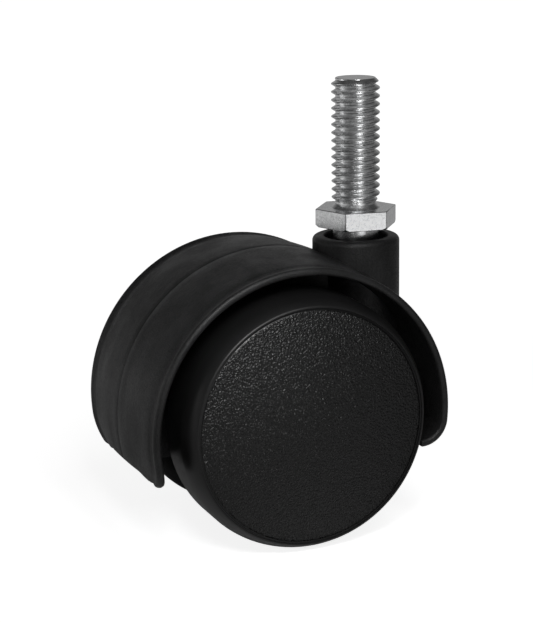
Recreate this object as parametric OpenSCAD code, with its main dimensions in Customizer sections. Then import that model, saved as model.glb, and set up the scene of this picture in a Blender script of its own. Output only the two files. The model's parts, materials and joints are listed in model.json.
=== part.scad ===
// Twin-wheel hooded swivel castor with a threaded stem
// Millimetres, +Z up. The origin is the centre of the collar's top face, on the swivel axis.
// The wheels trail behind the stem towards -X, and their axle runs along Y.

/* [Stem] */
// Major diameter of the thread
thread_d = 9.525; // [8:0.005:12]
// Length of the threaded end above the collar
thread_len = 25.4; // [15:0.1:50]
// Chamfer at the thread's tip
thread_chamfer = 0.9; // [0.3:0.1:1.5]
// Length of the plain neck between collar and thread
neck_len = 2; // [0.8:0.1:4]
// Depth of the neck under the thread's major diameter
neck_depth = 0.75; // [0.2:0.05:1]
// Hex collar across its flats
hex_af = 14.29; // [13:0.01:19]
// Height of the hex collar
hex_h = 3.6; // [2:0.1:8]
// Chamfer under the collar's corners
hex_chamfer = 0.5; // [0.2:0.1:1]
// Turn of the collar about the stem, in degrees
hex_turn = -9; // [-30:1:30]
// Diameter of the plain pintle under the collar
pintle_d = 9; // [7:0.1:11]
// Depth that the pintle reaches into its socket
pintle_reach = 24; // [16:0.5:32]
// Chamfer at the pintle's foot
pintle_chamfer = 1; // [0.5:0.1:2]

/* [Grip ring] */
// Height of the ring above the pintle's foot
ring_up = 4; // [2.5:0.1:8]
// Height of the split ring
ring_h = 1.1; // [0.6:0.1:2]
// How far the ring stands out of the pintle
ring_proud = 0.6; // [0.3:0.05:0.9]
// How deep the ring lies in the pintle
ring_depth = 0.7; // [0.4:0.05:1.2]
// Width of the split
ring_split = 2.4; // [1:0.1:4]

/* [Socket boss] */
// Diameter of the stem boss
boss_d = 17.2; // [16:0.1:20]
// Rounding of the boss's rim
boss_rim_r = 1; // [0.4:0.1:1.5]
// Height of the boss above the hood's crest
boss_rise = 0.5; // [0:0.1:6]
// Gap between the collar and the boss
collar_gap = 2; // [0.8:0.1:4]
// Diameter of the socket's open mouth
mouth_d = 12.5; // [11.5:0.1:13.5]
// Depth of the socket's open mouth
mouth_depth = 2.5; // [1:0.1:5]
// Thickness of the socket's floor
socket_floor = 3; // [2:0.1:5]

/* [Hood] */
// Distance of the axle behind the swivel axis
swivel_offset = 19.5; // [16:0.1:24]
// Gap between the wheels' tread and the hood's inside
hood_gap = 4.05; // [2.5:0.05:6]
// Depth of the hood's arch centre below the axle
hood_sink = 0.7; // [0:0.05:1.5]
// Thickness of the hood's wall along its middle
hood_wall = 2.2; // [1.6:0.05:4]
// Fall of the hood's outside from its middle to its lips
hood_crown = 1.1; // [0.6:0.05:1.3]
// Radius of the bead along each lip
bead_r = 0.75; // [0.5:0.05:1.2]
// Setback of the lips behind the wheels' faces
lip_setback = 3.05; // [1:0.05:5]
// Reach of the hood below the axle
hood_drop = 8.3; // [7:0.1:12]
// Radius of the rear lower corners, seen from behind
rear_corner_r = 4.5; // [1:0.1:6]
// Outside radius of the corner at the front lips
front_corner_r = 5.4; // [4:0.1:6]
// Thickness of the middle web across both its walls
web_w = 7.4; // [6:0.1:11]
// Thickness of the web's walls and ribs
web_wall = 2; // [1:0.1:2.5]

/* [Wheels] */
// Diameter of the wheels
wheel_d = 49.6; // [44:0.1:65]
// Width of a wheel from its inner edge to its face
wheel_w = 12.3; // [10:0.05:16]
// Gap between the stem boss and the wheels
wheel_side_gap = 1.5; // [1:0.05:5]
// Radius of the soft outer shoulder
shoulder_r = 8; // [5:0.5:10]
// Rounding of the tread's inner edge
tread_edge_r = 0.6; // [0.2:0.1:1]
// Thickness of the rim under the face disc
rim_wall = 3.6; // [3.4:0.1:5]
// Distance of the face disc's recess from the tread
face_inset = 1.95; // [1.7:0.05:2.4]
// Rounding of the ridge that frames the face disc
ridge_r = 0.3; // [0.2:0.05:0.4]
// How far the ridge stands out of the shoulder
ridge_proud = 0.1; // [0.05:0.01:0.15]
// Thickness of the wheel's web
wheel_web = 2; // [1.2:0.1:3]
// Depth of the web behind the tread's inner edge
web_setback = 1; // [0:0.1:2]
// Outside diameter of the hub
hub_d = 13; // [11:0.1:16]
// Reach of the hub past the tread's inner edge
hub_proud = 0.4; // [0:0.1:1]
// Number of ribs between hub and rim
rib_count = 8; // [5:1:12]
// Thickness of a rib
rib_wall = 1.4; // [0.8:0.1:2]

/* [Face discs] */
// Thickness of the face disc
cover_wall = 1.2; // [0.8:0.1:1.6]
// Setback of the disc behind the ridge
cover_setback = 0.25; // [0.1:0.05:0.8]
// Height of the skirt behind the disc
skirt_h = 1.8; // [1:0.1:2.5]
// Thickness of the skirt
skirt_wall = 1; // [0.6:0.1:1.5]
// Rounding of the disc's front edge, as a small chamfer
cover_chamfer = 0.25; // [0.1:0.05:0.5]

/* [Axle] */
// Diameter of the axle
axle_d = 6; // [5:0.1:8]
// Chamfer of the axle's ends
axle_chamfer = 0.5; // [0.2:0.1:1]
// Outside diameter of the axle boss on the web
axle_boss_d = 14; // [11:0.1:18]
// Outside diameter of the push nuts
nut_d = 11; // [10:0.1:12]
// Thickness of the push nuts' sheet
nut_sheet = 0.4; // [0.3:0.05:0.6]
// Height of the push nuts' dish
nut_dish = 0.6; // [0.3:0.05:1]
// Number of teeth round a push nut
nut_teeth = 6; // [4:1:8]
// Length of the axle beyond the push nut
axle_tail = 0.6; // [0.3:0.1:1.5]

/* [Clearances] */
// Radial running clearance of pintle and wheels
running_gap = 0.05; // [0.02:0.01:0.1]
// Axial play of the wheels
axial_play = 0.3; // [0.2:0.05:0.6]
// Gap round the face disc and behind its skirt
cover_gap = 0.1; // [0.05:0.01:0.3]
// Gap under the pintle's foot
foot_gap = 0.1; // [0.05:0.05:0.5]
// Gap round the grip ring in the socket
ring_gap = 0.4; // [0.3:0.05:0.6]
// Gap between the axle's end and the face disc
end_gap = 0.5; // [0.3:0.1:1.5]

/* [Hidden] */
$fn = 96;

nylon = "#1d1d1e";
face_nylon = "#262627";
zinc = "#c9cbcc";
spring_steel = "#8f9296";

// Overlap that joins the shapes of one moulding, and reach of a cut past its surface
join = 0.5;

// Heights along the stem
boss_top = -(hex_h + collar_gap);
pintle_foot = boss_top - pintle_reach;
ring_mid = pintle_foot + ring_up;
socket_end = pintle_foot - foot_gap;
boss_foot = socket_end - socket_floor;
pintle_r = pintle_d / 2;
socket_r = pintle_r + running_gap;
hex_corner_r = hex_af / 2 / cos(30);

// Distances from the middle plane out to one wheel's face
wheel_r = wheel_d / 2;
wheel_in = boss_d / 2 + wheel_side_gap;
wheel_face = wheel_in + wheel_w;
cover_out = wheel_face - cover_setback;
cover_in = cover_out - cover_wall;
axle_end = cover_in - end_gap;
nut_out = axle_end - axle_tail;
nut_in = nut_out - nut_dish - nut_sheet;
hub_out = nut_in - axial_play;
hub_in = wheel_in - hub_proud;
axle_boss_end = hub_in - axial_play;
wheel_web_in = wheel_in + web_setback;
rib_top = cover_in - skirt_h - axial_play;
ridge_y = wheel_face - ridge_r;

// Radii about the axle
axle_r = axle_d / 2;
rim_in_r = wheel_r - rim_wall;
recess_r = wheel_r - face_inset;
ridge_mid_r = recess_r + ridge_r - ridge_proud;
cover_r = recess_r - cover_gap;
skirt_r = rim_in_r - cover_gap;

// The shoulder's arc leaves the tread and runs into the ridge
shoulder_mid_r = wheel_r - shoulder_r;
shoulder_reach = shoulder_r - ridge_r + ridge_proud;
shoulder_fall = ridge_mid_r - shoulder_mid_r;
tread_end = ridge_y - sqrt(shoulder_reach * shoulder_reach - shoulder_fall * shoulder_fall);

// The hood's wall: a crowned outside, a straight inside and a bead along each lip
hood_in_r = wheel_r + hood_gap;
hood_crest_r = hood_in_r + hood_wall;
bead_mid_r = hood_in_r + bead_r;
lip_y = wheel_face - lip_setback;
bead_y = lip_y - bead_r;
crown_r = (bead_y * bead_y + hood_crown * hood_crown) / (2 * hood_crown);
crown_facets = 720;
rear_leg = hood_drop - hood_sink;
front_leg = rear_leg - front_corner_r;
corner_reach = bead_mid_r + bead_r - front_corner_r;
front_turn = asin(front_leg / corner_reach);
corner_x = corner_reach * cos(front_turn);
rear_turn = asin((rear_leg + join) / hood_in_r);
axle_x = -swivel_offset;
arch_z = boss_top - boss_rise - hood_crest_r;
axle_z = arch_z + hood_sink;

// Moves a shape to the axle
module at_axle() {
    translate([axle_x, 0, axle_z]) children();
}

// Moves a shape to the centre of the hood's arch
module at_arch() {
    translate([axle_x, 0, arch_z]) children();
}

// Turns a shape about the axle, with its heights running out to the left
module lathe_left() {
    at_axle() rotate([-90, 0, 0]) rotate_extrude() children();
}

// Section of the hood's wall, with the radius along X and the width along Y
module hood_section() {
    intersection() {
        translate([hood_in_r, -bead_y]) square([2 * hood_wall, 2 * bead_y]);
        translate([hood_crest_r - crown_r, 0]) circle(crown_r, $fn = crown_facets);
    }
    for (side = [-1, 1]) translate([bead_mid_r, side * bead_y]) circle(bead_r);
}

// Rear view of the hood's end, a little wider than the lips, with its lower corners rounded
module rear_outline() {
    side_y = lip_y + bead_r / 4;
    corner_y = side_y - rear_corner_r;
    corner_z = rear_corner_r - rear_leg;
    translate([-side_y, corner_z]) square([2 * side_y, join - corner_z]);
    translate([-corner_y, -rear_leg]) square([2 * corner_y, rear_leg + join]);
    for (side = [-1, 1]) translate([side * corner_y, corner_z]) circle(rear_corner_r);
}

// Half ball that closes the end of a bead
module bead_end() {
    rotate_extrude() intersection() {
        circle(bead_r);
        square(bead_r);
    }
}

// One round sweep over the wheels, trimmed behind, with a front corner that turns in under the lip
module hood_shell() {
    rotate([90, front_turn, 0]) rotate_extrude(angle = 180 + front_turn) hood_section();
    mirror([1, 0, 0]) intersection() {
        rotate([90, rear_turn, 0]) rotate_extrude(angle = rear_turn) hood_section();
        rotate([90, 0, 90]) linear_extrude(hood_crest_r + join) rear_outline();
    }
    translate([corner_x, 0, -front_leg]) mirror([0, 0, 1]) rotate([90, -front_turn, 0])
        rotate_extrude(angle = 90 - front_turn) translate([-corner_reach, 0]) hood_section();
    for (side = [-1, 1]) translate([corner_x, side * bead_y, corner_reach - front_leg - bead_mid_r])
        rotate([0, -90, 0]) bead_end();
}

// Side view of the space under the hood, out to a radius, with the front corner rounded
module arch_outline(radius) {
    corner = radius - corner_reach;
    intersection() {
        circle(radius);
        translate([-radius, 0]) square([2 * radius, radius]);
    }
    translate([-radius, -rear_leg]) square([radius + corner_x, rear_leg]);
    translate([-radius, -front_leg]) square([radius + corner_x + corner, front_leg]);
    translate([corner_x, -front_leg]) circle(corner);
}

// Plate that stands in the middle plane
module middle_plate(width) {
    rotate([90, 0, 0]) translate([0, 0, -width / 2]) linear_extrude(width) children();
}

// Web under the hood, cored from below into two walls with ribs that spread from the axle boss
module middle_web() {
    core_r = hood_in_r - web_wall;
    core_w = web_w - 2 * web_wall;
    difference() {
        middle_plate(web_w) arch_outline(hood_in_r + join);
        middle_plate(core_w) {
            intersection() {
                circle(core_r);
                translate([-core_r, 0]) square([2 * core_r, core_r]);
            }
            translate([-core_r, -rear_leg - join]) square([2 * core_r, rear_leg + join]);
        }
    }
    for (angle = [45, 90, 135, 180]) rotate([0, -angle, 0])
        translate([0, -core_w / 2 - join, -web_wall / 2])
            cube([core_r + join, core_w + 2 * join, web_wall]);
}

// Round boss through the web that holds the axle and spaces the wheels
module axle_hub() {
    rotate([90, 0, 0]) translate([0, 0, -axle_boss_end]) cylinder(h = 2 * axle_boss_end, d = axle_boss_d);
}

// Round boss for the stem, with a rounded rim
module stem_boss() {
    boss_r = boss_d / 2;
    rotate_extrude() {
        translate([0, boss_foot]) square([boss_r, boss_top - boss_rim_r - boss_foot]);
        translate([0, boss_foot]) square([boss_r - boss_rim_r, boss_top - boss_foot]);
        translate([boss_r - boss_rim_r, boss_top - boss_rim_r]) circle(boss_rim_r);
    }
}

// Socket for the pintle, with an open mouth and a groove round the grip ring
module socket_cut() {
    groove_h = ring_h + 2 * ring_gap;
    translate([0, 0, socket_end]) cylinder(h = boss_top - socket_end + join, r = socket_r);
    translate([0, 0, boss_top - mouth_depth]) cylinder(h = mouth_depth + join, d = mouth_d);
    translate([0, 0, ring_mid - groove_h / 2]) cylinder(h = groove_h, r = pintle_r + ring_proud + ring_gap);
}

module hood_body() {
    color(nylon) difference() {
        union() {
            at_arch() hood_shell();
            at_arch() middle_web();
            at_axle() axle_hub();
            stem_boss();
        }
        socket_cut();
        at_axle() rotate([90, 0, 0]) translate([0, 0, -axle_boss_end - join])
            cylinder(h = 2 * (axle_boss_end + join), r = axle_r);
    }
}

// Turned stem with its hex collar and the groove for the grip ring
module threaded_stem() {
    thread_r = thread_d / 2;
    neck_r = thread_r - neck_depth;
    flare_r = thread_r + running_gap;
    groove_r = pintle_r - ring_depth;
    groove_low = ring_mid - ring_h / 2;
    groove_high = ring_mid + ring_h / 2;
    hex_foot_r = hex_corner_r - hex_chamfer;
    color(zinc) union() {
        rotate_extrude() polygon([
            [0, pintle_foot],
            [pintle_r - pintle_chamfer, pintle_foot],
            [pintle_r, pintle_foot + pintle_chamfer],
            [pintle_r, groove_low],
            [groove_r, groove_low],
            [groove_r, groove_high],
            [pintle_r, groove_high],
            [pintle_r, -hex_h / 2],
            [flare_r, -hex_h / 2],
            [flare_r, 0],
            [neck_r, flare_r - neck_r],
            [neck_r, neck_len - neck_depth],
            [thread_r, neck_len],
            [thread_r, thread_len - thread_chamfer],
            [thread_r - thread_chamfer, thread_len],
            [0, thread_len]
        ]);
        intersection() {
            translate([0, 0, -hex_h]) rotate([0, 0, hex_turn])
                cylinder(h = hex_h, r = hex_corner_r, $fn = 6);
            translate([0, 0, -hex_h])
                cylinder(h = hex_h, r1 = hex_foot_r, r2 = hex_foot_r + hex_h);
        }
    }
}

// Split spring ring, seated in the pintle's groove
module stem_grip_ring() {
    ring_out_r = pintle_r + ring_proud;
    color(spring_steel) difference() {
        translate([0, 0, ring_mid - ring_h / 2]) cylinder(h = ring_h, r = ring_out_r);
        translate([0, 0, ring_mid - ring_h]) cylinder(h = 2 * ring_h, r = pintle_r - ring_depth);
        translate([-ring_out_r - join, -ring_split / 2, ring_mid - ring_h])
            cube([ring_out_r + join, ring_split, 2 * ring_h]);
    }
}

// Plain pin with chamfered ends
module axle() {
    color(spring_steel) at_axle() rotate([-90, 0, 0]) rotate_extrude() polygon([
        [0, -axle_end],
        [axle_r - axle_chamfer, -axle_end],
        [axle_r, -axle_end + axle_chamfer],
        [axle_r, axle_end - axle_chamfer],
        [axle_r - axle_chamfer, axle_end],
        [0, axle_end]
    ]);
}

// Section of one wheel: rim with a soft shoulder, a ridge and a recess for its face disc, web and hub
module wheel_section() {
    bore_r = axle_r + running_gap;
    difference() {
        union() {
            translate([rim_in_r, wheel_in]) square([rim_wall - tread_edge_r, tread_end - wheel_in]);
            translate([rim_in_r, wheel_in + tread_edge_r])
                square([rim_wall, tread_end - wheel_in - tread_edge_r]);
            translate([wheel_r - tread_edge_r, wheel_in + tread_edge_r]) circle(tread_edge_r);
            intersection() {
                translate([rim_in_r, tread_end]) square([rim_wall, ridge_y - tread_end]);
                translate([shoulder_mid_r, tread_end]) circle(shoulder_r);
            }
            translate([ridge_mid_r, ridge_y]) circle(ridge_r);
        }
        translate([rim_in_r - join, cover_in]) square([recess_r - rim_in_r + join, wheel_w]);
    }
    translate([bore_r, wheel_web_in]) square([rim_in_r + join - bore_r, wheel_web]);
    translate([bore_r, hub_in]) square([hub_d / 2 - bore_r, hub_out - hub_in]);
}

// Ribs that stand on the wheel's web between hub and rim
module wheel_ribs() {
    rib_start = hub_d / 2 - join;
    at_axle() for (index = [0 : rib_count - 1]) rotate([0, index * 360 / rib_count, 0])
        translate([rib_start, wheel_web_in, -rib_wall / 2])
            cube([rim_in_r + join - rib_start, rib_top - wheel_web_in, rib_wall]);
}

module wheel_left() {
    color(nylon) union() {
        lathe_left() wheel_section();
        wheel_ribs();
    }
}

module wheel_right() {
    mirror([0, 1, 0]) wheel_left();
}

// Face disc with a skirt that centres it in the rim
module wheel_cover_left() {
    color(face_nylon) lathe_left() {
        polygon([
            [0, cover_in],
            [cover_r, cover_in],
            [cover_r, cover_out - cover_chamfer],
            [cover_r - cover_chamfer, cover_out],
            [0, cover_out]
        ]);
        translate([skirt_r - skirt_wall, cover_in - skirt_h]) square([skirt_wall, skirt_h]);
    }
}

module wheel_cover_right() {
    mirror([0, 1, 0]) wheel_cover_left();
}

// Dished push nut whose teeth bite on the axle
module push_nut_left() {
    slot_w = axle_d / nut_teeth;
    dish_r = axle_r + (nut_d / 2 - axle_r) / 2;
    color(spring_steel) difference() {
        lathe_left() polygon([
            [axle_r, nut_in + nut_dish],
            [dish_r, nut_in],
            [nut_d / 2, nut_in],
            [nut_d / 2, nut_in + nut_sheet],
            [dish_r, nut_in + nut_sheet],
            [axle_r, nut_in + nut_dish + nut_sheet]
        ]);
        at_axle() for (index = [0 : nut_teeth - 1]) rotate([0, index * 360 / nut_teeth, 0])
            translate([0, nut_in - join, -slot_w / 2])
                cube([dish_r, nut_dish + nut_sheet + 2 * join, slot_w]);
    }
}

module push_nut_right() {
    mirror([0, 1, 0]) push_nut_left();
}

hood_body();
threaded_stem();
stem_grip_ring();
axle();
wheel_left();
wheel_right();
wheel_cover_left();
wheel_cover_right();
push_nut_left();
push_nut_right();
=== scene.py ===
# %% [markdown]
# A hooded twin-wheel castor, dressed for a product picture.
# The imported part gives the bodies, the joints and the main sizes. This lesson models the pieces that the
# eye meets once more in Blender, with the soft edges, the thread and the grain of the real castor.

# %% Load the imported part
import json
import math

import bmesh
import bpy
from mathutils import Matrix, Vector


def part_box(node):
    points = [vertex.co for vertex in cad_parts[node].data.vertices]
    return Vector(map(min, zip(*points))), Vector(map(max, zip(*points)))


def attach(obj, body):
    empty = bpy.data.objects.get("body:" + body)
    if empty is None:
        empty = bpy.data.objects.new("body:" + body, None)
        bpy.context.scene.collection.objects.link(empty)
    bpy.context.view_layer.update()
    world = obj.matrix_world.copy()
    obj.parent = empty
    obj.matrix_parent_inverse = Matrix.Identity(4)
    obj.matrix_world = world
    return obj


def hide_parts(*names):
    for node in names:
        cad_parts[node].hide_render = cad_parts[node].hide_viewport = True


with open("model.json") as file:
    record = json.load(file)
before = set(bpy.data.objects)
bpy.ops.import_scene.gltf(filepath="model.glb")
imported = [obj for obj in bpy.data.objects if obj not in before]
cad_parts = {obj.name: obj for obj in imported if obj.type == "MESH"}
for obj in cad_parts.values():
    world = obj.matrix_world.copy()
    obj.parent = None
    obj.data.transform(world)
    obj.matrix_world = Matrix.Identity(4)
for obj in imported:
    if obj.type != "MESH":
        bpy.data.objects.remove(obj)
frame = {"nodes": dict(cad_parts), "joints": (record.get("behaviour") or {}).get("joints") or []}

scene = bpy.context.scene
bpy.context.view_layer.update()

# %% [markdown]
# Blender works in metres and the drawing in millimetres, so every size below is in millimetres and is
# turned into metres where a vertex is placed. The axle's place comes from the wheel's own joint, and the
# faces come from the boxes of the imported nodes, so the pieces sit where the part says.

# %% Sizes that the pieces share
MM = 0.001
INCH = 25.4
joints = {joint["name"]: joint for joint in frame["joints"]}
axle = Vector(joints["wheel_right_roll"]["pos_m"]) / MM
axle.y = 0
wheel_low, wheel_high = (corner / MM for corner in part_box("wheel_left"))
wheel_r = (wheel_high.z - wheel_low.z) / 2
wheel_in = 10.1
wheel_face = wheel_high.y
hood_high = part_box("hood_body")[1] / MM
lip_y = hood_high.y
boss_top = hood_high.z
print(f"axle {axle.x:.2f} {axle.z:.2f}, wheel radius {wheel_r:.2f}")
print(f"wheel face at {wheel_face:.2f}, hood lips at {lip_y:.2f}, boss top at {boss_top:.2f}")

# %% [markdown]
# Most pieces of a castor are turned or moulded shapes with one section. A section starts as a flat face
# through a few corners. Each corner is rounded by a vertex bevel with a setback of its own, which is how a
# toolmaker breaks an edge. The face is then deleted, and its outline is spun round an axis. A spin could
# also be a Screw modifier, but the operator leaves a plain mesh that can be joined to others at once.

# %% Sections and spins
fine_edge = 0.2
soft_edge = 0.3
full_edge = 0.4
fewest_steps = 2
most_steps = 40
steps_for_each_mm = 6
merge_distance = 0.0005
wheel_steps = 160
boss_steps = 96
bore_steps = 64


def about_axle(radius, across):
    return Vector((axle.x + radius, across, axle.z)) * MM


def about_stem(radius, height):
    return Vector((radius, 0, height)) * MM


def arc_steps(radius):
    return max(fewest_steps, min(most_steps, round(radius * steps_for_each_mm)))


def rounded_face(bm, corners, place):
    verts = [bm.verts.new(place(first, second)) for first, second, setback in corners]
    bm.faces.new(verts)
    for vert, (first, second, setback) in zip(verts, corners):
        if setback:
            bmesh.ops.bevel(bm, geom=[vert], offset=setback * MM, offset_type="OFFSET", profile=0.5,
                            segments=arc_steps(setback), affect="VERTICES", material=-1)


def outline_of(bm):
    bmesh.ops.delete(bm, geom=bm.faces[:], context="FACES_ONLY")
    return bm.verts[:] + bm.edges[:]


def close_up(bm):
    bmesh.ops.remove_doubles(bm, verts=bm.verts[:], dist=merge_distance * MM)
    loose = [edge for edge in bm.edges if edge.is_wire]
    bmesh.ops.delete(bm, geom=loose, context="EDGES")
    bmesh.ops.recalc_face_normals(bm, faces=bm.faces[:])
    return bm


def turned(corners, place, centre, axis, steps):
    bm = bmesh.new()
    rounded_face(bm, corners, place)
    bmesh.ops.spin(bm, geom=outline_of(bm), cent=centre * MM, axis=axis, angle=math.tau,
                   steps=steps, use_merge=True)
    return close_up(bm)


def turned_on_axle(corners, steps):
    return turned(corners, about_axle, axle, Vector((0, 1, 0)), steps)


def turned_on_stem(corners):
    return turned(corners, about_stem, Vector((0, 0, 0)), Vector((0, 0, 1)), boss_steps)


print(f"a setback of {full_edge} mm is rounded in {arc_steps(full_edge)} steps")

# %% [markdown]
# A moulding is one solid, though it is easier to model as several simple ones. The shells here are all
# closed, so a Boolean modifier joins them into a single skin, and another cuts the bores. The result is
# taken from the evaluated object, and the helpers are removed again.

# %% Joining and cutting closed shells
def loose_object(bm, name):
    mesh = bpy.data.meshes.new(name)
    bm.to_mesh(mesh)
    bm.free()
    helper = bpy.data.objects.new(name, mesh)
    scene.collection.objects.link(helper)
    return helper


def combined(first, steps):
    base = loose_object(first, "base")
    tools = []
    for operation, shell in steps:
        tools.append(loose_object(shell, "tool"))
        modifier = base.modifiers.new(operation, "BOOLEAN")
        modifier.operation = operation
        modifier.solver = "MANIFOLD"
        modifier.object = tools[-1]
    depsgraph = bpy.context.evaluated_depsgraph_get()
    result = bmesh.new()
    result.from_mesh(base.evaluated_get(depsgraph).to_mesh())
    for helper in [base] + tools:
        mesh = helper.data
        bpy.data.objects.remove(helper)
        bpy.data.meshes.remove(mesh)
    return close_up(result)


def finished_piece(bm, name, body, nodes, sharp_angle=32):
    mesh = bpy.data.meshes.new(name)
    open_edges = sum(1 for edge in bm.edges if not edge.is_manifold)
    bm.to_mesh(mesh)
    bm.free()
    mesh.shade_smooth()
    mesh.set_sharp_from_angle(angle=math.radians(sharp_angle))
    piece = bpy.data.objects.new(name, mesh)
    scene.collection.objects.link(piece)
    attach(piece, body)
    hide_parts(*nodes)
    print(f"{name}: {len(mesh.polygons)} faces, {open_edges} open edges")
    return piece


# %% [markdown]
# The wheels are nylon mouldings: a rim with a wide soft shoulder, a thin web and a hub. The shoulder ends
# in a fine ridge round a shallow recess for the face disc. One section, spun about the axle, makes all of
# it. Eight ribs join hub and rim behind the disc, as boxes that the Boolean melts into the wheel.

# %% The wheel's section
hub_r = 6.5
bore_r = 3.05
rim_in_r = wheel_r - 3.6
recess_r = wheel_r - 2
cover_out = wheel_face - 0.15
cover_in = cover_out - 1.2
web_in = wheel_in + 1
web_out = web_in + 2
hub_in = wheel_in - 0.4
hub_out = 18.55
tread_edge = 0.6
shoulder_y = wheel_face - 2.37
shoulder_setback = 2.6
ridge_r = recess_r + 0.3
ridge_setback = 0.2
recess_edge = 0.08
wheel_corners = [
    (bore_r, hub_in, fine_edge), (hub_r, hub_in, soft_edge), (hub_r, web_in, soft_edge),
    (rim_in_r, web_in, full_edge), (rim_in_r, wheel_in, soft_edge), (wheel_r, wheel_in, tread_edge),
    (wheel_r, shoulder_y, shoulder_setback), (ridge_r, wheel_face, ridge_setback),
    (recess_r, wheel_face, recess_edge), (recess_r, cover_in, 0), (rim_in_r, cover_in, fine_edge),
    (rim_in_r, web_out, full_edge), (hub_r, web_out, full_edge), (hub_r, hub_out, soft_edge),
    (bore_r, hub_out, fine_edge),
]
print(f"wheel section: {len(wheel_corners)} corners, recess radius {recess_r:.2f}")

# %% [markdown]
# Each rib is a cube that is scaled to its box and then turned about the axle. The right wheel is the left
# one mirrored across the middle. Mirroring turns a shell inside out, so its normals are made anew.

# %% Wheels
rib_top = hub_out + 0.3
rib_half = 0.7
rib_count = 8
overlap = 0.5


def box_shell(low, high, turn):
    bm = bmesh.new()
    bmesh.ops.create_cube(bm, size=1)
    bmesh.ops.scale(bm, verts=bm.verts[:], vec=(high - low) * MM)
    bmesh.ops.translate(bm, verts=bm.verts[:], vec=(high + low) * MM / 2)
    bmesh.ops.transform(bm, matrix=turn, verts=bm.verts[:])
    return close_up(bm)


def turn_at(centre, degrees):
    return Matrix.Translation(centre * MM) @ Matrix.Rotation(math.radians(degrees), 4, "Y")


def mirrored(bm):
    bmesh.ops.scale(bm, verts=bm.verts[:], vec=Vector((1, -1, 1)))
    bmesh.ops.recalc_face_normals(bm, faces=bm.faces[:])
    return bm


def wheel_shell():
    rib_low = Vector((hub_r - overlap, web_out - overlap, -rib_half))
    rib_high = Vector((rim_in_r + overlap, rib_top, rib_half))
    ribs = []
    for index in range(rib_count):
        rib = box_shell(rib_low, rib_high, turn_at(axle, index * 360 / rib_count))
        ribs.append(("UNION", rib))
    return combined(turned_on_axle(wheel_corners, wheel_steps), ribs)


wheel_left = finished_piece(wheel_shell(), "wheel_left_shape", "wheel_left", ["wheel_left"])
wheel_right = finished_piece(mirrored(wheel_shell()), "wheel_right_shape", "wheel_right",
                             ["wheel_right"])

# %% [markdown]
# A thin disc closes each wheel. Its face is set back a little behind the rim's ridge, and its edge is
# softened, so a fine dark line runs round the grained face. A skirt behind it centres it in the rim.

# %% Face discs
cover_r = recess_r - 0.01
cover_edge = 0.06
skirt_r = rim_in_r - 0.1
skirt_in_r = skirt_r - 1
skirt_foot = cover_in - 1.8
cover_corners = [
    (0, cover_out, 0), (cover_r, cover_out, cover_edge), (cover_r, cover_in, 0), (skirt_r, cover_in, 0),
    (skirt_r, skirt_foot, fine_edge), (skirt_in_r, skirt_foot, fine_edge), (skirt_in_r, cover_in, 0),
    (0, cover_in, 0),
]


def cover_shell():
    return turned_on_axle(cover_corners, wheel_steps)


cover_left = finished_piece(cover_shell(), "face_disc_left", "wheel_left", ["wheel_cover_left"])
cover_right = finished_piece(mirrored(cover_shell()), "face_disc_right", "wheel_right",
                             ["wheel_cover_right"])

# %% [markdown]
# The hood is a sweep of one section. The section has a straight inside, a crowned outside, a rounded bead
# along each lip with a shallow valley behind it, and the fine line where the two halves of the mould met.
# One spin carries it over the wheels, and a second one, about a nearer centre, turns the front lip in.

# %% The hood's section
arch = Vector((axle.x, 0, axle.z - 0.7))
hood_in_r = wheel_r + 4.05
crest_r = hood_in_r + 2.2
bead_r = 0.75
bead_y = lip_y - bead_r
bead_top_r = hood_in_r + 2 * bead_r
bead_round = bead_r - 0.03
bead_foot_y = bead_y - 0.25
bead_foot_setback = 0.27
crown_fall = 1.1
crown_rows = (2, 4, 6, 8, 10, 12, 14, 15.5)
valley_y = 16.8
valley_depth = 0.32
valley_setback = 1.1
seam_half = 0.17
seam_depth = 0.1


def crown(across):
    return crest_r - crown_fall * (across / bead_y) ** 2


def hood_corners():
    half = [(crown(across), across, 0) for across in (seam_half, *crown_rows)]
    half += [(crown(valley_y) - valley_depth, valley_y, valley_setback)]
    half += [(bead_top_r, bead_foot_y, bead_foot_setback)]
    half += [(bead_top_r, lip_y, bead_round), (hood_in_r, lip_y, bead_round)]
    other = [(radius, -across, setback) for radius, across, setback in reversed(half)]
    return other + [(crest_r - seam_depth, 0, 0)] + half


def about_arch(radius, across):
    return (arch + Vector((radius, across, 0))) * MM


print(f"hood section: {len(hood_corners())} corners, crest {crest_r:.2f}, bead tops {bead_top_r:.2f}")

# %% [markdown]
# Two moves carry the section along: a spin about a centre, and a straight stretch of its last row. The
# wall's ends are rounded by a few more rows. Each goes a little further ahead and closes in on the middle
# line of the wall by a share of its own, as a bevel would, but without crossing over at the narrow beads.

# %% Sweeping, stretching and capping
def last_edges(geometry):
    return [item for item in geometry if isinstance(item, bmesh.types.BMEdge)]


def new_verts(geometry):
    return [item for item in geometry if isinstance(item, bmesh.types.BMVert)]


def stretched(bm, edges, move):
    made = bmesh.ops.extrude_edge_only(bm, edges=edges)["geom"]
    verts = new_verts(made)
    bmesh.ops.translate(bm, verts=verts, vec=move * MM)
    return last_edges(made), verts


def swept(bm, geometry, centre, sense, angle, steps):
    made = bmesh.ops.spin(bm, geom=geometry, cent=centre * MM, axis=Vector((0, sense, 0)), angle=angle,
                          steps=steps, use_duplicate=False)
    return made["geom_last"]


def end_cap(bm, edges, centre, outward, ahead, rounding):
    for depth, share in rounding:
        edges, verts = stretched(bm, edges, ahead * depth)
        for vert in verts:
            place = vert.co / MM - centre
            past_middle = outward * (place.dot(outward) - hood_in_r - bead_r)
            past_middle.y = place.y - max(-bead_y, min(bead_y, place.y))
            vert.co -= past_middle * (1 - share) * MM
    bmesh.ops.contextual_create(bm, geom=edges)


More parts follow.
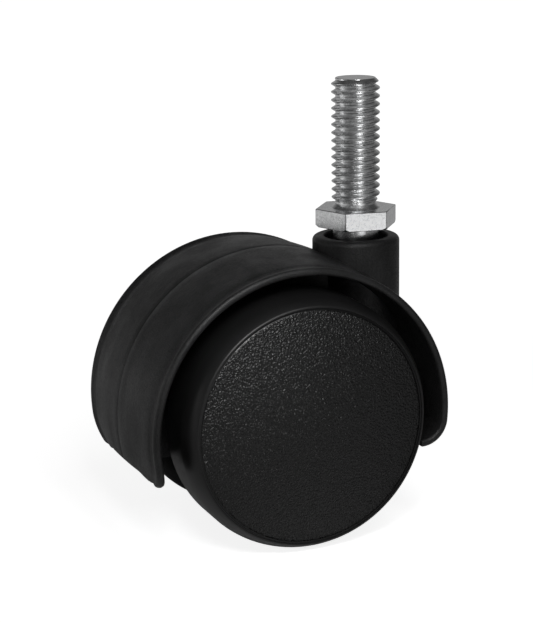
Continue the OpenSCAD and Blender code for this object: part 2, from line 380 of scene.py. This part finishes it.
# %% [markdown]
# Behind the wheels the hood goes on round its circle and ends in a level edge with rounded corners. The
# last rows are first drawn straight down, which keeps them level. Then each vertex is moved in to the
# circle, and the beads are led round the corners, as thick there as elsewhere, a little below the edge.

# %% The hood's rear edge
rear_leg = 9.3
rear_corner_r = 5.6
rear_rounding = ((0.12, 0.97), (0.13, 0.92), (0.12, 0.85), (0.08, 0.75))
straight_drops = [1.4, 2.8]
turning_angles = range(9, 64, 9)
steepest_sine = 0.95
widest_bead = 1.45
bead_start = 17.4
calm_y = 7
tongue = 1
tongue_from = 7.5
tongue_to = 11.5
level_drop = 0.01


def rear_drops():
    cap = sum(depth for depth, share in rear_rounding)
    sines = [math.sin(math.radians(angle)) for angle in turning_angles]
    turning = [rear_leg - rear_corner_r * (1 - sine) for sine in sines]
    return straight_drops + [rear_leg - rear_corner_r] + turning + [rear_leg - cap]


def led_round(across, drop):
    sine = min(steepest_sine, max(0, 1 - (rear_leg - drop) / rear_corner_r))
    cosine = math.sqrt(1 - sine ** 2)
    bead_middle = bead_y - rear_corner_r * (1 - cosine)
    widening = min(widest_bead, 1 / cosine)
    if across > bead_start:
        return bead_middle + (across - bead_y) * widening
    bead_edge = bead_middle - (bead_y - bead_start) * widening
    return across + max(0, across - calm_y) * ((bead_edge - calm_y) / (bead_start - calm_y) - 1)


def eased(share):
    share = max(0, min(1, share))
    return share * share * (3 - 2 * share)


def rear_shaped(bm):
    for vert in bm.verts:
        place = vert.co / MM - arch
        drop, reach, across = -place.z, -place.x, abs(place.y)
        if drop > level_drop and reach > 0:
            led = led_round(across, drop)
            rise = eased((tongue_to - led) / (tongue_to - tongue_from))
            drop -= tongue * rise * (drop / rear_leg) ** 2
            moved = Vector((-math.sqrt(reach ** 2 - drop ** 2), math.copysign(led, place.y), -drop))
            vert.co = (arch + moved) * MM


print(f"rear edge in {len(rear_drops())} rows, {rear_leg} mm under the arch's centre")

# %% [markdown]
# The whole wall starts from the section at the front end of the arch. It is swept back over the wheels and
# down to the rear edge. From the same section a short lean and a tighter spin turn the front lip in.

# %% The hood's wall
front_leg = 2.2
front_corner_r = 5.4
front_rounding = ((0.15, 0.97), (0.17, 0.9), (0.15, 0.8), (0.08, 0.7))
corner_reach = bead_top_r - front_corner_r
front_turn = math.asin(front_leg / corner_reach)
sweep_steps = 96
lean_steps = 3
under_steps = 20


def hood_wall():
    bm = bmesh.new()
    rounded_face(bm, hood_corners(), about_arch)
    first = outline_of(bm)
    edges = last_edges(swept(bm, first, arch, -1, math.pi, sweep_steps))
    drop = 0
    for wanted in rear_drops():
        edges, verts = stretched(bm, edges, Vector((0, 0, drop - wanted)))
        drop = wanted
    down = Vector((0, 0, -1))
    back = Vector((-1, 0, 0))
    end_cap(bm, edges, arch, back, down, rear_rounding)
    rear_shaped(bm)
    leaning = swept(bm, first, arch, 1, front_turn, lean_steps)
    corner = arch + Vector((math.cos(front_turn), 0, -math.sin(front_turn))) * corner_reach
    under = swept(bm, leaning, corner, 1, math.pi / 2 - front_turn, under_steps)
    end_cap(bm, last_edges(under), corner - down * corner_reach, down, back, front_rounding)
    return close_up(bm)


print(f"front lip: {math.degrees(front_turn):.1f} degrees of lean, then turned in about a nearer centre")

# %% [markdown]
# Under the hood stands a web of two thin walls with a roof and ribs between them, open from below as a
# moulding has to be. Each wall's outline is one rectangle whose two upper corners are rounded so far that
# they make the half circle under the hood.

# %% The web under the hood
web_half = 3.7
web_wall = 2
core_half = web_half - web_wall
filling_half = core_half + 0.2
web_r = hood_in_r + 0.4
web_arch_setback = web_r - 0.02
web_foot = rear_leg - tongue - 0.7
web_corner_r = web_r - corner_reach
roof_r = web_r - 0.1
roof_in_r = hood_in_r - web_wall
roof_foot = web_foot - 0.3
web_rib_reach = hood_in_r - 1
web_rib_angles = (45, 90, 135, 180)


def side_view(along, height):
    return (arch + Vector((along, 0, height))) * MM


def web_plate(low_y, high_y):
    bm = bmesh.new()
    corners = [(-web_r, -web_foot, soft_edge), (web_r, -web_foot, web_corner_r),
               (web_r, web_r, web_arch_setback), (-web_r, web_r, web_arch_setback)]
    rounded_face(bm, corners, side_view)
    bmesh.ops.translate(bm, verts=bm.verts[:], vec=Vector((0, low_y, 0)) * MM)
    made = bmesh.ops.extrude_face_region(bm, geom=bm.faces[:])["geom"]
    bmesh.ops.translate(bm, verts=new_verts(made), vec=Vector((0, high_y - low_y, 0)) * MM)
    return close_up(bm)


def web_roof():
    bm = bmesh.new()
    corners = [(roof_in_r, -filling_half, 0), (roof_r, -filling_half, 0), (roof_r, filling_half, 0),
               (roof_in_r, filling_half, 0)]
    rounded_face(bm, corners, about_arch)
    first = outline_of(bm)
    last = swept(bm, first, arch, -1, math.pi, sweep_steps)
    for edges, leg in ((last_edges(first), front_leg), (last_edges(last), roof_foot)):
        end, verts = stretched(bm, edges, Vector((0, 0, -leg)))
        bmesh.ops.contextual_create(bm, geom=end)
    return close_up(bm)


def web_rib(degrees):
    low = Vector((0, -filling_half, -web_wall / 2))
    high = Vector((web_rib_reach, filling_half, web_wall / 2))
    return box_shell(low, high, turn_at(arch, -degrees))


print(f"web: {2 * web_half:.1f} mm wide, {len(web_rib_angles)} ribs, foot {web_foot:.1f} mm below the arch")

# %% [markdown]
# Two round bosses finish the moulding. The stem boss stands up through the front of the hood, with a
# rounded rim and an open mouth round the pintle. The axle boss crosses the web and spaces the wheels.
# Both are spun sections, and the pintle's socket is cut last, so that nothing is left inside it.

# %% Bosses, socket and the whole moulding
boss_r = 8.6
boss_foot = -32.7
boss_rim = 1
mouth_r = 6.25
mouth_floor = boss_top - 2.5
mouth_edge_y = boss_top - 0.3
mouth_edge = 0.15
mouth_flare = 0.5
socket_r = 4.55
socket_floor = -29.7
ring_room_r = 5.5
ring_room_low = -26.55
ring_room_high = -24.65
axle_r = 3
axle_boss_r = 7
axle_boss_end = 9.4
bore_end = 12


def stem_boss():
    return turned_on_stem([(0, boss_foot, 0), (boss_r, boss_foot, full_edge), (boss_r, boss_top, boss_rim),
                           (0, boss_top, 0)])


def socket():
    return turned_on_stem([
        (0, socket_floor, 0), (socket_r, socket_floor, 0), (socket_r, ring_room_low, 0),
        (ring_room_r, ring_room_low, 0), (ring_room_r, ring_room_high, 0), (socket_r, ring_room_high, 0),
        (socket_r, mouth_floor, soft_edge), (mouth_r, mouth_floor, 0), (mouth_r, mouth_edge_y, mouth_edge),
        (mouth_r + mouth_flare, boss_top + mouth_flare, 0), (0, boss_top + mouth_flare, 0),
    ])


def axle_boss():
    return turned_on_axle([(0, -axle_boss_end, 0), (axle_boss_r, -axle_boss_end, full_edge),
                           (axle_boss_r, axle_boss_end, full_edge), (0, axle_boss_end, 0)], boss_steps)


def axle_bore():
    return turned_on_axle([(0, -bore_end, 0), (axle_r, -bore_end, 0), (axle_r, bore_end, 0),
                           (0, bore_end, 0)], bore_steps)


added = [web_plate(core_half, web_half), web_plate(-web_half, -core_half), web_roof()]
added += [web_rib(degrees) for degrees in web_rib_angles]
added += [axle_boss(), stem_boss()]
hood_steps = [("UNION", shell) for shell in added]
hood_steps += [("DIFFERENCE", socket()), ("DIFFERENCE", axle_bore())]
hood = finished_piece(combined(hood_wall(), hood_steps), "hood_shape", "housing", ["hood_body"])

# %% [markdown]
# The stem is turned from hex bar. Its thread is a real one, cut by a spin that climbs one pitch with each
# turn. The vertices are then held inside an envelope, which gives the run-out at the neck and the
# chamfer at the tip as a lathe does. A bump in the finish would be quicker, but the outline would be plain.

# %% The thread
pitch = INCH / 16
thread_r = 4.7625
thread_depth = 0.86
thread_top = INCH
thread_cut = 0.9
thread_start = -112
tip_chamfer = 0.9
neck_r = 4.0125
neck_top = 2.0
run_out = 0.75
turn_steps = 72
turn_merge = 0.002
cut_tolerance = 1e-8
rising_flank = [(0, 0), (0.05, 0.008), (0.1, 0.045), (0.15, 0.14), (0.2, 0.28), (0.28, 0.53), (0.36, 0.78),
                (0.41, 0.91), (0.44, 0.965), (0.47, 0.99), (0.5, 1)]
thread_form = rising_flank + [(1 - along, share) for along, share in reversed(rising_flank[:-1])]


def envelope(height):
    if height < neck_top:
        return max(neck_r, thread_r - (neck_top - height))
    return min(thread_r, thread_r - (height - (thread_top - tip_chamfer)))


def held_in_envelope(bm):
    for vert in bm.verts:
        height = vert.co.z / MM
        radius = math.hypot(vert.co.x, vert.co.y) / MM
        low = neck_r if height < neck_top - run_out else 0
        wanted = max(low, min(radius, envelope(height)))
        vert.co.x *= wanted / radius
        vert.co.y *= wanted / radius


def threaded_shell():
    bm = bmesh.new()
    low = -pitch
    turns = math.ceil((thread_top - low) / pitch) + 1
    verts = [bm.verts.new(about_stem(thread_r - thread_depth * (1 - share), low + pitch * along))
             for along, share in thread_form]
    for lower, upper in zip(verts, verts[1:]):
        bm.edges.new((lower, upper))
    start = Matrix.Rotation(math.radians(thread_start), 3, "Z")
    bmesh.ops.rotate(bm, cent=Vector(), matrix=start, verts=bm.verts[:])
    bmesh.ops.spin(bm, geom=bm.verts[:] + bm.edges[:], cent=Vector(), axis=Vector((0, 0, 1)),
                   dvec=Vector((0, 0, pitch / turn_steps)) * MM, angle=math.tau * turns,
                   steps=turn_steps * turns)
    bmesh.ops.remove_doubles(bm, verts=bm.verts[:], dist=turn_merge * MM)
    held_in_envelope(bm)
    for height, normal in ((thread_top, 1), (thread_cut, -1)):
        bmesh.ops.bisect_plane(bm, geom=bm.verts[:] + bm.edges[:] + bm.faces[:], dist=cut_tolerance,
                               plane_co=Vector((0, 0, height)) * MM, plane_no=Vector((0, 0, normal)),
                               clear_outer=True)
    return bm


print(f"thread: {thread_top / pitch:.0f} pitches of {pitch:.4f} mm")

# %% [markdown]
# Below the thread a short neck flares out onto the collar. The collar is a hex with its lower corners
# turned down to a cone, and the plain pintle hangs under it with a groove for the grip ring.

# %% Neck, hex collar and pintle
flare_r = 4.8125
neck_rows = ((0.1, neck_r), (0.8, flare_r), (1.8, flare_r))
row_tolerance = 0.02
hex_af = 14.29
hex_h = 3.6
hex_turn = -9
hex_corner_turn = 30
hex_corner_r = hex_af / 2 / math.cos(math.radians(hex_corner_turn))
hex_edge = 0.12
cone_foot_r = hex_corner_r - 0.5
cone_rise = 1
pintle_r = 4.5
pintle_foot = -29.6
pintle_chamfer = 1
pintle_edge = 0.1
ring_low = pintle_foot + 4 - 0.55
ring_high = ring_low + 1.1
groove_r = pintle_r - 0.7


def boundary_at(bm, height):
    return [edge for edge in bm.edges if edge.is_boundary
            and all(abs(vert.co.z / MM - height) < row_tolerance for vert in edge.verts)]


def thread_with_neck():
    bm = threaded_shell()
    bmesh.ops.contextual_create(bm, geom=boundary_at(bm, thread_top))
    ring = boundary_at(bm, thread_cut)
    for drop, radius in neck_rows:
        ring, verts = stretched(bm, ring, Vector((0, 0, -drop)))
        now = math.hypot(verts[0].co.x, verts[0].co.y) / MM
        bmesh.ops.scale(bm, vec=Vector((radius / now, radius / now, 1)), verts=verts)
    bmesh.ops.contextual_create(bm, geom=ring)
    return close_up(bm)


def hex_collar():
    bm = bmesh.new()
    bmesh.ops.create_cone(bm, cap_ends=True, segments=6, radius1=hex_corner_r * MM,
                          radius2=hex_corner_r * MM, depth=hex_h * MM)
    turn = Matrix.Rotation(math.radians(hex_turn - hex_corner_turn), 3, "Z")
    bmesh.ops.rotate(bm, cent=Vector(), matrix=turn, verts=bm.verts[:])
    bmesh.ops.translate(bm, vec=Vector((0, 0, -hex_h / 2)) * MM, verts=bm.verts[:])
    bmesh.ops.bevel(bm, geom=bm.edges[:], offset=hex_edge * MM, offset_type="OFFSET", segments=1, profile=0.5,
                    affect="EDGES", material=-1)
    return close_up(bm)


def collar_cone():
    return turned_on_stem([(0, -hex_h, 0), (cone_foot_r, -hex_h, 0),
                           (cone_foot_r + hex_h + cone_rise, cone_rise, 0), (0, cone_rise, 0)])


def pintle():
    return turned_on_stem([
        (0, pintle_foot, 0), (pintle_r - pintle_chamfer, pintle_foot, pintle_edge),
        (pintle_r, pintle_foot + pintle_chamfer, pintle_edge), (pintle_r, ring_low, 0),
        (groove_r, ring_low, 0), (groove_r, ring_high, 0), (pintle_r, ring_high, 0),
        (pintle_r, -hex_h / 2, 0), (0, -hex_h / 2, 0),
    ])


stem_steps = [("INTERSECT", collar_cone()), ("UNION", thread_with_neck()), ("UNION", pintle())]
stem = finished_piece(combined(hex_collar(), stem_steps), "stem_shape", "stem",
                      ["threaded_stem"], sharp_angle=26)

# %% [markdown]
# A finish is a small graph of nodes. It could be drawn in the shader editor, but as text it can be read and
# changed. One class wraps a socket, so that shader maths reads as sums, and one method makes every other
# node. All patterns read Object coordinates, which are metres on the piece.

# %% Writing node graphs as expressions
class Finish:
    def __init__(self, tree, socket=None):
        self.tree = tree
        self.socket = socket

    def node(self, kind, settings=None, inputs=None, output=0):
        made = self.tree.nodes.new(kind)
        for name, value in (settings or {}).items():
            setattr(made, name, value)
        for name, value in (inputs or {}).items():
            if isinstance(value, Finish):
                self.tree.links.new(value.socket, made.inputs[name])
            else:
                made.inputs[name].default_value = value
        return Finish(self.tree, made.outputs[output])

    def maths(self, operation, first, second):
        return self.node("ShaderNodeMath", {"operation": operation}, {0: first, 1: second})

    def __add__(self, other):
        return self.maths("ADD", self, other)

    def __radd__(self, other):
        return self.maths("ADD", other, self)

    def __sub__(self, other):
        return self.maths("SUBTRACT", self, other)

    def __rsub__(self, other):
        return self.maths("SUBTRACT", other, self)

    def __mul__(self, other):
        return self.maths("MULTIPLY", self, other)

    def __rmul__(self, other):
        return self.maths("MULTIPLY", other, self)

    def between(self, low, high):
        return self.node("ShaderNodeMapRange", {"interpolation_type": "SMOOTHSTEP"},
                         {"Value": self, "From Min": low, "From Max": high})

    def mixed(self, dark, light):
        return self.node("ShaderNodeMix", {"data_type": "RGBA"}, {0: self, 6: dark, 7: light}, 2)

    def vector(self, operation, other):
        return self.node("ShaderNodeVectorMath", {"operation": operation}, {0: self, 1: other})

    def along(self, way):
        return self.node("ShaderNodeVectorMath", {"operation": "DOT_PRODUCT"}, {0: self, 1: way}, "Value")

    def length(self):
        return self.node("ShaderNodeVectorMath", {"operation": "LENGTH"}, {0: self}, "Value")


# %% [markdown]
# Every finish starts from the shader that a new material brings. What is the same all over goes straight
# onto the shader's sockets, and what changes from place to place is linked to them.

# %% Making and wearing a finish
def shader_of(material):
    return material.node_tree.nodes["Principled BSDF"]


def new_finish(name, values):
    material = bpy.data.materials.new(name)
    material.use_nodes = True
    for socket_name, value in values.items():
        shader_of(material).inputs[socket_name].default_value = value
    place = Finish(material.node_tree).node("ShaderNodeTexCoord", output="Object")
    return material, place


def feed(material, links):
    for socket_name, value in links.items():
        material.node_tree.links.new(value.socket, shader_of(material).inputs[socket_name])


def mapped(place, changes):
    return place.node("ShaderNodeMapping", {}, {"Vector": place, **changes})


def noise(place, scale, detail, roughness):
    return place.node("ShaderNodeTexNoise", {}, {"Vector": place, "Scale": scale, "Detail": detail,
                                                 "Roughness": roughness})


def bump(height, strength, depth):
    return height.node("ShaderNodeBump", {}, {"Strength": strength, "Distance": depth * MM, "Height": height})


def wear(material, pieces):
    for piece in pieces:
        piece.data.materials.clear()
        piece.data.materials.append(material)
    names = [piece.name for piece in pieces]
    print(f"{material.name}: {len(material.node_tree.nodes)} nodes, worn by {names}")


# %% [markdown]
# The hood's nylon came out of a finely blasted mould: almost black, with a soft matte sheen, faint clouds
# where it flowed, and a grain that is only felt. Clouds and grain are two noises at two scales.

# %% Hood nylon
coolness = 1.02


def grey(value):
    return (value, value, value * coolness, 1)


def hood_finish():
    material, place = new_finish("hood_nylon", {"Specular IOR Level": 0.4})
    flow_stretch = (1, 1, 0.45)
    cloud_share = 0.5
    grain_share = 0.5
    dullest = 0.52
    sheen = 0.16
    clouds = noise(mapped(place, {"Scale": flow_stretch}), scale=140, detail=4, roughness=0.6)
    grain = noise(place, scale=3000, detail=3, roughness=0.65)
    shade = (clouds * cloud_share + grain * grain_share).between(low=0.36, high=0.64)
    feed(material, {"Base Color": shade.mixed(dark=grey(0.006), light=grey(0.024)),
                    "Roughness": dullest - shade * sheen,
                    "Normal": bump(grain, strength=0.8, depth=0.12)})
    return material


wear(hood_finish(), [hood])

# %% [markdown]
# The wheels are smoother: a satin black with the finest of grain. The face discs carry a spark-eroded
# grain of small domes, about half a millimetre across, whose polished tops glint. Their base colour is also
# made lighter there as a painted glint. A plain margin of about half a millimetre runs round the edge.
# Noise alone looked like worms, so a soft Voronoi makes the domes.

# %% Wheel nylon and grained faces
def wheel_finish():
    material, place = new_finish("wheel_nylon", {"Specular IOR Level": 0.4})
    smoothest = 0.33
    dulling = 0.12
    clouds = noise(place, scale=160, detail=3, roughness=0.5)
    grain = noise(place, scale=6500, detail=2, roughness=0.6)
    feed(material, {"Base Color": clouds.mixed(dark=grey(0.006), light=grey(0.011)),
                    "Roughness": smoothest + clouds * dulling,
                    "Normal": bump(grain, strength=0.25, depth=0.015)})
    return material


def face_finish():
    material, place = new_finish("face_nylon", {"Specular IOR Level": 0.45})
    margin_from = cover_r - 0.7
    margin_to = cover_r - 0.3
    pit_share = 0.4
    dome_share = 0.6
    dullest = 0.28
    polish = 0.13
    centred = mapped(place, {"Location": tuple(-axle * MM)})
    from_middle = centred.vector("MULTIPLY", (1, 0, 1)).length()
    inside = 1 - from_middle.between(margin_from * MM, margin_to * MM)
    pits = noise(place, scale=2800, detail=3, roughness=0.6)
    from_dome = place.node("ShaderNodeTexVoronoi", {"feature": "SMOOTH_F1"},
                           {"Vector": place, "Scale": 2500, "Smoothness": 0.5})
    height = (pits * pit_share + (1 - from_dome) * dome_share) * inside
    # Grain tops are smoother, and their base colour is made lighter there as a painted glint.
    polish_and_painted_glints = pits.between(low=0.5, high=0.66) * inside
    feed(material, {"Base Color": polish_and_painted_glints.mixed(dark=grey(0.004), light=grey(0.01)),
                    "Roughness": dullest - polish_and_painted_glints * polish,
                    "Normal": bump(height, strength=1.0, depth=0.32)})
    return material


wear(wheel_finish(), [wheel_left, wheel_right])
wear(face_finish(), [cover_left, cover_right])

# %% [markdown]
# The stem is plated with bright zinc, which lies a little unevenly: the polish changes from place to
# place, fine crystals break up the light, and the turning marks of the bar still show as faint rings. The
# ring, axle and nuts are plain spring steel that only shows in the gaps.

# %% Zinc and spring steel
cool_step = 0.005


def metal(value):
    return (value, value + cool_step, value + 2 * cool_step, 1)


def zinc_finish():
    material, place = new_finish("zinc_plating", {"Metallic": 1.0})
    ring_stretch = (0.15, 0.15, 1)
    ring_share = 0.3
    crystal_share = 0.7
    even_share = 0.5
    smoothest = 0.15
    dulling = 0.2
    blotches = noise(place, scale=420, detail=4, roughness=0.6)
    crystals = noise(place, scale=2600, detail=2, roughness=0.6)
    rings = noise(mapped(place, {"Scale": ring_stretch}), scale=9000, detail=2, roughness=0.6)
    height = rings * ring_share + crystals * crystal_share
    bright = (blotches * even_share + crystals * even_share).between(low=0.36, high=0.62)
    feed(material, {"Base Color": bright.mixed(dark=metal(0.66), light=metal(0.94)),
                    "Roughness": smoothest + blotches * dulling,
                    "Normal": bump(height, strength=0.35, depth=0.025)})
    return material


def steel_finish():
    material, place = new_finish("spring_steel", {"Metallic": 1.0})
    dark_steel = (0.3, 0.31, 0.32, 1)
    light_steel = (0.42, 0.43, 0.44, 1)
    smoothest = 0.3
    dulling = 0.2
    blotches = noise(place, scale=600, detail=3, roughness=0.6)
    feed(material, {"Base Color": blotches.mixed(dark_steel, light_steel),
                    "Roughness": smoothest + blotches * dulling})
    return material


wear(zinc_finish(), [stem])
inner_nodes = ["stem_grip_ring", "axle", "push_nut_left", "push_nut_right"]
wear(steel_finish(), [frame["nodes"][name] for name in inner_nodes])

# %% [markdown]
# The stage is a plain pale floor. The camera sees it as a nearly white glow, turned down near the castor as
# painted shade, so that the lamps' real shadow shows there. Reflections see a painted glow instead: a dark
# floor, darker near the castor as painted shade, a painted pool of light in front, which whitens the collar,
# and a paler floor far behind, which lifts the hood.

# %% Floor
floor_half = 3
floor_gap = 0.05
# The camera's glow near the castor, lowered as painted shade.
painted_shade_glow = 0.86
near_castor = 60 * MM
far_from_castor = 300 * MM
# What reflections see of the floor is a painted glow: dark near the castor as painted shade, paler far
# behind.
floor_level = 0.07
far_floor_level = 0.28
far_floor_way = (-0.4, 0.9, 0)
far_floor_from = 160 * MM
far_floor_to = 250 * MM
far_side_from = -90 * MM
far_side_to = 170 * MM
# A painted pool of light on the floor, seen only in reflections.
painted_pool_level = 1.1
pool_place = Vector((20, -330, 0)) * MM
pool_narrowing = (1, 0.5, 0)
pool_from = 60 * MM
pool_to = 120 * MM
black = (0, 0, 0, 1)
white = (1, 1, 1, 1)
floor_grey = (0.8, 0.8, 0.8, 1)


def stage_floor():
    bm = bmesh.new()
    bmesh.ops.create_grid(bm, x_segments=1, y_segments=1, size=floor_half)
    bmesh.ops.translate(bm, verts=bm.verts[:], vec=Vector((0, 0, axle.z - wheel_r - floor_gap)) * MM)
    floor = loose_object(bm, "floor")
    return floor


def ray_kinds(finish):
    return [finish.node("ShaderNodeLightPath", output=name)
            for name in ("Is Camera Ray", "Is Glossy Ray", "Is Transmission Ray")]


def floor_finish():
    material, place = new_finish("pale_floor", {"Base Color": floor_grey, "Roughness": 0.9,
                                                "Specular IOR Level": 0.1, "Emission Strength": 1.0})
    camera_ray, glossy_ray, transmission_ray = ray_kinds(place)
    from_castor = place.length()
    from_pool = place.vector("SUBTRACT", pool_place).vector("MULTIPLY", pool_narrowing).length()
    # The glow for the camera is lower near the castor: painted shade, so that the lamps' real shadow shows
    # there.
    camera_glow_with_painted_shade = painted_shade_glow + from_castor.between(near_castor, far_from_castor) * (1 - painted_shade_glow)
    far_side = place.along(far_floor_way).between(far_side_from, far_side_to)
    # Painted reflection: a paler floor far behind, and a darker one near the castor as painted shade.
    painted_far_floor = from_castor.between(far_floor_from, far_floor_to) * far_side * far_floor_level
    # A painted pool of light in front, which whitens the collar.
    painted_pool = (1 - from_pool.between(pool_from, pool_to)) * painted_pool_level
    painted_reflection_glow = floor_level + painted_far_floor + painted_pool
    glow = camera_ray * camera_glow_with_painted_shade + (glossy_ray + transmission_ray) * painted_reflection_glow
    feed(material, {"Emission Color": glow.mixed(black, white)})
    return material


wear(floor_finish(), [stage_floor()])

# %% [markdown]
# The world is white to the camera and only dim to the castor, so that it stays black. Reflections see a
# pale backdrop in one direction behind the castor, which draws the edges of the hood and the stem.

# %% World
ambient_level = 0.055
backdrop_level = 0.26
backdrop_way = (0.38, 0.9, -0.2)
backdrop_edge = 0.5
backdrop_middle = 0.95
world = bpy.data.worlds.new("studio")
scene.world = world
world.use_nodes = True
sky = Finish(world.node_tree)
camera_ray, glossy_ray, transmission_ray = ray_kinds(sky)
direction = sky.node("ShaderNodeTexCoord", output="Generated")
backdrop = direction.along(backdrop_way).between(backdrop_edge, backdrop_middle) * backdrop_level
strength = ambient_level + (camera_ray + glossy_ray * backdrop + transmission_ray)
background = world.node_tree.nodes["Background"]
background.inputs["Color"].default_value = white
world.node_tree.links.new(strength.socket, background.inputs["Strength"])
print(f"world: {len(world.node_tree.nodes)} nodes, {ambient_level} all round, backdrop {backdrop_level}")

# %% [markdown]
# Three soft lamps light the castor. A tall one above the front models the faces and the thread. A small one
# with a narrow beam, as from a lamp with a grid, brings out the grain on the upper left of the near wheel's
# face. A low one behind on the left lies along the hood's flank.

# %% Lamps
castor_middle = Vector((-10, 0, -25))
wide_open = 180


def soft_lamp(name, place, size, power, target=castor_middle, spread=wide_open):
    light = bpy.data.lights.new(name, "AREA")
    light.shape = "RECTANGLE"
    light.size, light.size_y = (side * MM for side in size)
    light.energy = power
    light.spread = math.radians(spread)
    lamp = bpy.data.objects.new(name, light)
    lamp.location = place * MM
    lamp.rotation_euler = (target - place).to_track_quat("-Z", "Y").to_euler()
    scene.collection.objects.link(lamp)
    print(f"{name}: {power} W, {(target - place).length:.0f} mm away")


soft_lamp("front_lamp", Vector((-3, -205, 220)), size=(90, 200), power=0.24)
soft_lamp("face_lamp", Vector((-60, -95, 37)), size=(40, 40), power=0.0056,
          target=Vector((-25, -22, -27)), spread=42)
soft_lamp("left_lamp", Vector((-396, 141, 40)), size=(200, 100), power=0.1)

# %% [markdown]
# The camera stands where the photograph was taken from: a little left of square to the wheel and a little
# above it, with a long lens. Its turn about its own axis and its small sideways steps are kept.

# %% Camera
camera_azimuth = math.radians(-22.63)
camera_elevation = math.radians(13.93)
camera_roll = math.radians(-0.8)
camera_target = Vector((-19.5, 0, -36.5))
camera_distance = 370
side_step = -0.055
up_step = 16.83
focal_pixels = 1874.5
picture_height = 623
sensor_width = 36
nearest_seen = 0.01


def photo_camera():
    back = Vector((math.sin(camera_azimuth) * math.cos(camera_elevation),
                   -math.cos(camera_azimuth) * math.cos(camera_elevation), math.sin(camera_elevation)))
    level = Vector((math.cos(camera_azimuth), math.sin(camera_azimuth), 0))
    upright = back.cross(level)
    right = level * math.cos(camera_roll) + upright * math.sin(camera_roll)
    up = upright * math.cos(camera_roll) - level * math.sin(camera_roll)
    place = camera_target + back * camera_distance + right * side_step + up * up_step
    lens = bpy.data.cameras.new("photo_camera")
    lens.sensor_width = sensor_width
    lens.sensor_fit = "AUTO"
    lens.lens = focal_pixels * sensor_width / picture_height
    lens.clip_start = nearest_seen
    camera = bpy.data.objects.new("photo_camera", lens)
    camera.matrix_world = Matrix.Translation(place * MM) @ Matrix((right, up, back)).transposed().to_4x4()
    scene.collection.objects.link(camera)
    return camera


scene.camera = photo_camera()
scene.view_settings.view_transform = "Standard"
print(f"lens {scene.camera.data.lens:.1f} mm")
